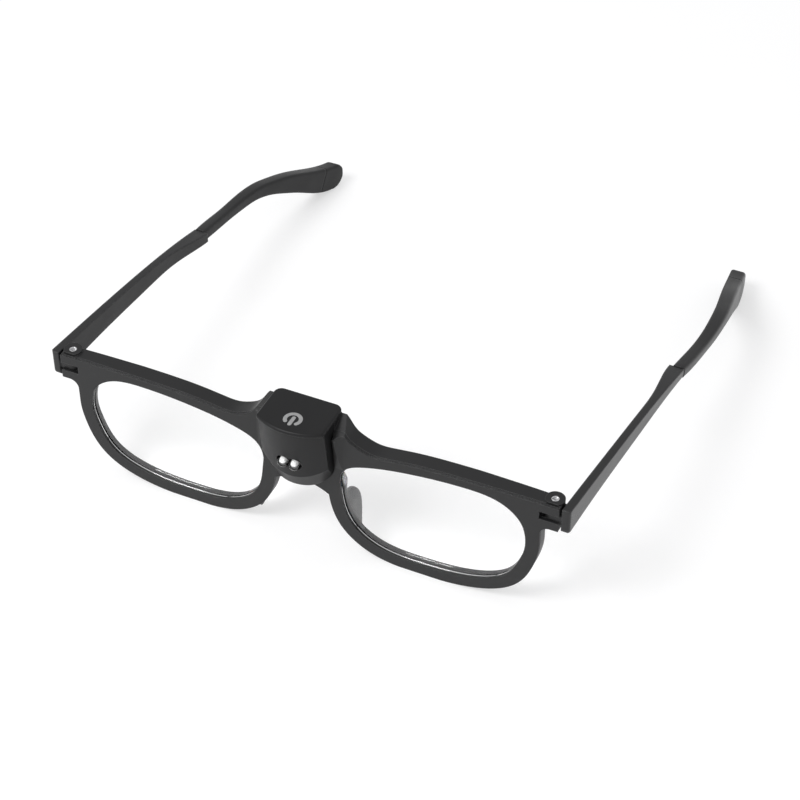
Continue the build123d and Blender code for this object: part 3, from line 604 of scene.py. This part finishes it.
def parting_cuts(side, gap):
    """The planes that part a bar into the tip and its cap, each as a point and the side to drop."""
    tip, cap = [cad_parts[side + "_" + name].data for name in ("tip", "tip_cap")]
    forward = (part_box(side + "_arm")[0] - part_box(side + "_tip")[0]).normalized()
    front = max((face for face in tip.polygons if face.normal.dot(forward) > 0.9),
                key=lambda face: face.center.dot(forward))
    seam = max((face for face in cap.polygons if face.normal.dot(forward) > 0.6),
               key=lambda face: face.area)
    return {
        "tip": (
            (front.center - gap * front.normal, front.normal),
            (seam.center + gap * seam.normal, -seam.normal),
        ),
        "tip_cap": ((seam.center - gap * seam.normal, seam.normal),),
    }


class MAGNIFIER_OT_arms(bpy.types.Operator):
    """Finishes the arms in black plastic, and makes the tips and caps in softer, duller plastic"""

    bl_idname = "magnifier.arms"
    bl_label = "Arms and tips"

    def execute(self, context):
        s = settings("plastic")
        plastic = grained_plastic("arm_plastic", tuple(s.black), s.roughness, s.grain, s.arm_edge_radius,
                                  index=1.45, inner_matt=s.inner_matt)
        soft = grained_plastic("tip_rubber", tuple(s.tip_black), s.tip_roughness, 1.5 * s.grain,
                               s.arm_edge_radius, depth=0.000004, index=1.45,
                               inner_matt=s.inner_matt, edge_paling=0.2)
        for side in SIDES:
            wear_finish(plastic, side + "_arm")
            bar = round_edged_bar(side, s)
            for name, planes in parting_cuts(side, s.seam_gap).items():
                mesh = bpy.data.meshes.new(side + "_soft_" + name)
                shape = bar.copy()
                for point, direction in planes:
                    cut_off(shape, point, direction)
                shape.to_mesh(mesh)
                shape.free()
                mesh.shade_smooth()
                mesh.set_sharp_from_angle(angle=math.radians(40))
                mesh.materials.append(soft)
                piece = bpy.data.objects.new(side + "_soft_" + name, mesh)
                context.scene.collection.objects.link(piece)
                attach(piece, side + "_temple")
                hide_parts(side + "_" + name)
            bar.free()
        return {"FINISHED"}


class MAGNIFIER_OT_lenses(bpy.types.Operator):
    """Makes both magnifying lenses clear"""

    bl_idname = "magnifier.lenses"
    bl_label = "Lenses"

    def execute(self, context):
        s = settings("lens")
        glass = clear_lens("clear_lens", tuple(s.tint), s.index)
        for side in SIDES:
            wear_finish(glass, side + "_lens")
            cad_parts[side + "_lens"].visible_shadow = False
        return {"FINISHED"}


class MAGNIFIER_OT_sign(bpy.types.Operator):
    """Prints the power sign on the light box's cover"""

    bl_idname = "magnifier.sign"
    bl_label = "Power sign"

    def execute(self, context):
        s = settings("sign")
        middle = ((COVER_LOW.x + COVER_HIGH.x) / 2, COVER_LOW.y + s.from_front)
        half = s.stroke / 2
        reach = s.outside / 2 - half
        low = COVER_HIGH.z - 0.2 * s.ink_height
        high = COVER_HIGH.z + s.ink_height

        def ring(shape):
            start, end = -math.pi / 2 + s.gap / 2, 1.5 * math.pi - s.gap / 2
            first = (middle[0] + reach * math.cos(start), middle[1] + reach * math.sin(start))
            last = (middle[0] + reach * math.cos(end), middle[1] + reach * math.sin(end))
            outline = arc(middle, reach + half, start, end, 60)
            outline += arc(last, half, end, end + math.pi, 10)[1:]
            outline += arc(middle, reach - half, end, start, 60)[1:]
            outline += arc(first, half, start + math.pi, start + math.tau, 10)[1:-1]
            prism(shape, outline, low, high, 0.3 * s.ink_height)

        def bar(shape):
            front = (middle[0], middle[1] - reach)
            back = (middle[0], middle[1] - reach + s.bar - s.stroke)
            outline = arc(front, half, math.pi, math.tau, 12) + arc(back, half, 0, math.pi, 12)
            prism(shape, outline, low, high, 0.3 * s.ink_height)

        ink = printed_ink("sign_ink", tuple(s.ink))
        solid("sign_ring", ring, ink)
        solid("sign_bar", bar, ink)
        return {"FINISHED"}


class MAGNIFIER_OT_lamps(bpy.types.Operator):
    """Makes the lamps' domes clear, with a core and two leads inside each; the core is painted pale above as
    a highlight and grey below as shade
    """

    bl_idname = "magnifier.lamps"
    bl_label = "Lamps"

    def execute(self, context):
        s = settings("lamp")
        dome = clear_lens("lamp_epoxy", (0.97, 0.98, 0.98), s.index)
        steel = turned_steel("lead_steel", (0.8, 0.8, 0.81))
        dark = grained_plastic("holder_plastic", (0.01, 0.01, 0.01), 0.5, 0.0002, 0.0001)
        wear_finish(dark, "lamp_holder")
        for side in SIDES:
            wear_finish(dome, side + "_lamp")
            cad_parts[side + "_lamp"].visible_shadow = False
            low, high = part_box(side + "_lamp")
            x, z = (low.x + high.x) / 2, (low.z + high.z) / 2
            tip = low.y + s.core_back
            turn = Matrix.Translation((x, tip, z)) @ Matrix.Rotation(math.radians(90), 4, "X")
            foot = -s.core_length
            # The core's colour is painted light: pale above the lamp's middle height as a painted highlight,
            # and grey below it as painted shade.
            painted_core_finish = core_painted_lit_and_shaded(side + "_lamp_core_painted_light", tuple(s.core_painted_highlight), tuple(s.core_painted_shade), z)
            lead_gap, lead_chamfer = 0.4 * MM, 0.05 * MM

            def core(shape):
                profile = [(0, foot), (0.85 * s.core_radius, foot)]
                profile.append((s.core_radius, foot + 0.15 * s.core_radius))
                for step in range(9):
                    angle = math.pi / 2 * step / 8
                    profile.append((s.core_radius * math.cos(angle), s.core_radius * (math.sin(angle) - 1)))
                profile[-1] = (0, 0)
                lathe(shape, profile, (0, 0), 32)
                shape.transform(turn)

            def leads(shape):
                for sign in (-1, 1):
                    middle = sign * 0.6 * s.core_radius
                    wide = 0.3 * s.core_radius
                    outline = [(middle - wide, -wide), (middle + wide, -wide), (middle + wide, wide),
                               (middle - wide, wide)]
                    prism(shape, outline, tip - high.y + lead_gap, foot, lead_chamfer)
                shape.transform(turn)

            solid(side + "_lamp_core", core, painted_core_finish)
            solid(side + "_lamp_leads", leads, steel)
        return {"FINISHED"}


class MAGNIFIER_OT_screws(bpy.types.Operator):
    """Makes the hinge screws, with ridged shanks and heads that are open inside their top ring"""

    bl_idname = "magnifier.screws"
    bl_label = "Hinge screws"

    def execute(self, context):
        s = settings("screw")
        for side in SIDES:
            low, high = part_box(side + "_hinge_screw")
            middle = ((low.x + high.x) / 2, (low.y + high.y) / 2)
            head = (high.x - low.x) / 2
            steel = turned_steel(side + "_screw_zinc", tuple(s.steel), (*middle, 0.0), metallic=0.35)
            shank, under = 0.7 * head, high.z - 0.7 * head
            thread_turns, thread_pitch = 7, 0.35 * MM
            rim_height = 0.25 * MM  # from the top of the head's upright edge to the box's top

            def screw(shape):
                profile = [(0, low.z), (0.75 * shank, low.z), (shank, low.z + 0.3 * shank)]
                for turn in range(thread_turns):
                    z = low.z + 0.3 * shank + thread_pitch * turn
                    profile += [(shank, z + 0.02 * MM), (0.86 * shank, z + 0.17 * MM)]
                    profile.append((shank, z + 0.33 * MM))
                profile += [(shank, under), (head, under), (head, high.z - rim_height)]
                for step in range(1, 7):
                    angle = math.pi / 2 * step / 6
                    rise = (rim_height - 0.4 * s.crown) * math.sin(angle)
                    inward = 1 - 0.16 * (1 - math.cos(angle))
                    profile.append((head * inward, high.z - rim_height + rise))
                lathe(shape, profile, middle)

            piece = solid(side + "_cross_screw", screw, steel, smooth=32)
            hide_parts(side + "_hinge_screw")
        return {"FINISHED"}


def pad_lobe(context, side, off_nose, s):
    """A pad's rounded mesh: the middle of its face swells, and it follows the rim's bend off the nose."""
    low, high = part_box(side + "_nose_pad")
    mesh = softened(context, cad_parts[side + "_nose_pad"].data, s.cell_size, 8)
    shape = bmesh.new()
    shape.from_mesh(mesh)
    middle = sum((v.co for v in shape.verts), Vector()) / len(shape.verts)
    reach = max((v.co - middle).length for v in shape.verts)
    straight = 3 * MM  # height over the middle up to which the pad stays upright
    for vertex in shape.verts:
        near = max(0.0, 1.0 - (vertex.co - middle).length / reach)
        vertex.co += vertex.normal * (s.swell * (3 - 2 * near) * near * near * 2.2)
        below = (low.z + high.z) / 2 - vertex.co.z
        vertex.co.x += off_nose * (s.stand_off - s.lean * (vertex.co.y - low.y)
                                   - s.top_lean * max(0.0, -below - straight))
        vertex.co.z += s.foot_lift * max(0.0, below)
    return mesh, shape


def rim_lining(context, nose, off_nose, s):
    """The lining of the rim's inner wall behind the lens, beside the pad, which grows into the wing."""
    low_end, high_end = 4.5 * MM, s.wing_height + 3 * MM  # between these heights over the table
    near_nose, far_nose = 6 * MM, 16.5 * MM  # and between these distances from the nose's middle
    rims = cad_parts["front_frame"].data
    lens_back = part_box("left_lens")[1].y
    lining = bmesh.new()
    corners = {}
    for face in rims.polygons:
        outward = (face.center.x - nose) * off_nose
        beside = near_nose < outward < far_nose and low_end < face.center.z < high_end
        if beside and face.normal.x * off_nose > 0.35 and face.center.y > lens_back:
            for index in face.vertices:
                if index not in corners:
                    corners[index] = lining.verts.new(rims.vertices[index].co)
            lining.faces.new([corners[index] for index in face.vertices])
    grown = bmesh.ops.extrude_face_region(lining, geom=lining.faces[:], use_keep_orig=True)
    for vertex in grown["geom"]:
        if isinstance(vertex, bmesh.types.BMVert):
            level = (vertex.co.z - s.wing_height) / s.wing_reach
            vertex.co.x += off_nose * (s.lining + s.wing * max(0.0, 1 - level * level))
    bmesh.ops.recalc_face_normals(lining, faces=lining.faces)
    hard = bpy.data.meshes.new("lining")
    lining.to_mesh(hard)
    lining.free()
    soft = softened(context, hard, s.lining_cell, 6)
    bpy.data.meshes.remove(hard)
    return soft


class MAGNIFIER_OT_nose_pads(bpy.types.Operator):
    """Makes the soft nose pads: swollen lobes of smoky rubber, with a lining on the rim's inner wall"""

    bl_idname = "magnifier.nose_pads"
    bl_label = "Nose pads"

    def execute(self, context):
        s = settings("pad")
        thin_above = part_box("left_nose_pad")[1].z + 0.3 * MM
        rubber = smoky_rubber("smoky_rubber", tuple(s.smoke), tuple(s.wing_pale), thin_above)
        nose = (COVER_LOW.x + COVER_HIGH.x) / 2
        for side in SIDES:
            low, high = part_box(side + "_nose_pad")
            off_nose = math.copysign(1.0, (low.x + high.x) / 2 - nose)
            mesh, shape = pad_lobe(context, side, off_nose, s)
            soft = rim_lining(context, nose, off_nose, s)
            shape.from_mesh(soft)
            bpy.data.meshes.remove(soft)
            shape.to_mesh(mesh)
            shape.free()
            mesh.shade_smooth()
            mesh.materials.clear()
            mesh.materials.append(rubber)
            pad = bpy.data.objects.new(side + "_soft_pad", mesh)
            context.scene.collection.objects.link(pad)
            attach(pad, "front")
            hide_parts(side + "_nose_pad")
        return {"FINISHED"}


class MAGNIFIER_OT_inner_parts(bpy.types.Operator):
    """Finishes the board, the cell, the charging socket and the touch pad inside the light box"""

    bl_idname = "magnifier.inner_parts"
    bl_label = "Inner parts"

    def execute(self, context):
        # green board with glass weave and pale traces
        board = Finish("green_board", IOR=1.5, Coat_Weight=0.4)
        weave = board.node("ShaderNodeTexWave", {"Vector": board.place, "Scale": 700.0, "Distortion": 0.4})
        weave = weave.outputs["Fac"]
        cells = {"Vector": board.place, "Scale": 700.0, "Mortar Size": 0.02, "Color1": (0.0, 0.0, 0.0, 1.0),
                 "Color2": (0.1, 0.1, 0.1, 1.0), "Mortar": (1.0, 1.0, 1.0, 1.0)}
        tracks = board.node("ShaderNodeTexBrick", cells).outputs["Color"]
        woven = board.spread(weave, 0.0, 1.0, 0.0, 1.0)
        green = board.blend(woven, (0.01, 0.09, 0.035), (0.014, 0.12, 0.05))
        shown = board.blend(tracks, green, (0.03, 0.2, 0.08))
        board.feed(Base_Color=shown, Roughness=board.spread(weave, 0.35, 0.5, 0.0, 1.0),
                   Normal=board.bump(tracks, 0.00002))
        wear_finish(board.material, "circuit_board", "charge_board")

        # crumpled foil of the cell
        foil = Finish("cell_foil", Metallic=1.0)
        creases = foil.noise(0.0016, detail=4.0, distortion=1.5)
        shown = foil.blend(foil.spread(creases, 0.0, 1.0), (0.62, 0.63, 0.65), (0.5, 0.51, 0.54))
        foil.feed(Base_Color=shown, Roughness=foil.spread(creases, 0.25, 0.45),
                  Normal=foil.bump(creases, 0.00012))
        wear_finish(foil.material, "battery_cell")

        wear_finish(turned_steel("socket_steel", (0.7, 0.7, 0.71)), "charge_socket")
        copper = Finish("copper", Metallic=1.0)
        stains = copper.noise(0.0012, detail=3.0)
        shown = copper.blend(copper.spread(stains, 0.0, 1.0), (0.8, 0.42, 0.25), (0.6, 0.3, 0.18))
        copper.feed(Base_Color=shown, Roughness=copper.spread(stains, 0.25, 0.4),
                    Normal=copper.bump(copper.noise(0.0001), 0.000002))
        wear_finish(copper.material, "touch_pad", "touch_contact")
        return {"FINISHED"}


PIECES = (
    MAGNIFIER_OT_stage, MAGNIFIER_OT_front, MAGNIFIER_OT_arms, MAGNIFIER_OT_lenses, MAGNIFIER_OT_sign,
    MAGNIFIER_OT_lamps, MAGNIFIER_OT_screws, MAGNIFIER_OT_nose_pads, MAGNIFIER_OT_inner_parts,
)


class MAGNIFIER_PT_panel(bpy.types.Panel):
    """Lists the pieces of the magnifier glasses"""

    bl_idname = "MAGNIFIER_PT_panel"
    bl_label = "Magnifier glasses"
    bl_space_type = "VIEW_3D"
    bl_region_type = "UI"
    bl_category = "Magnifier"

    def draw(self, context):
        for piece in PIECES:
            self.layout.operator(piece.bl_idname)


GROUPS = {
    "stage": StageSettings, "plastic": PlasticSettings, "lens": LensSettings, "sign": SignSettings,
    "lamp": LampSettings, "screw": ScrewSettings, "pad": PadSettings,
}


def register():
    for name, group in GROUPS.items():
        bpy.utils.register_class(group)
        setattr(bpy.types.Scene, "magnifier_" + name, PointerProperty(type=group))
    for shown in (*PIECES, MAGNIFIER_PT_panel):
        bpy.utils.register_class(shown)


def unregister():
    for shown in reversed((*PIECES, MAGNIFIER_PT_panel)):
        bpy.utils.unregister_class(shown)
    for name, group in GROUPS.items():
        delattr(bpy.types.Scene, "magnifier_" + name)
        bpy.utils.unregister_class(group)


def main():
    """Makes every piece in order."""
    register()
    bpy.ops.magnifier.stage()
    bpy.ops.magnifier.front()
    bpy.ops.magnifier.arms()
    bpy.ops.magnifier.lenses()
    bpy.ops.magnifier.sign()
    bpy.ops.magnifier.lamps()
    bpy.ops.magnifier.screws()
    bpy.ops.magnifier.nose_pads()
    bpy.ops.magnifier.inner_parts()


if __name__ == "__main__":
    main()
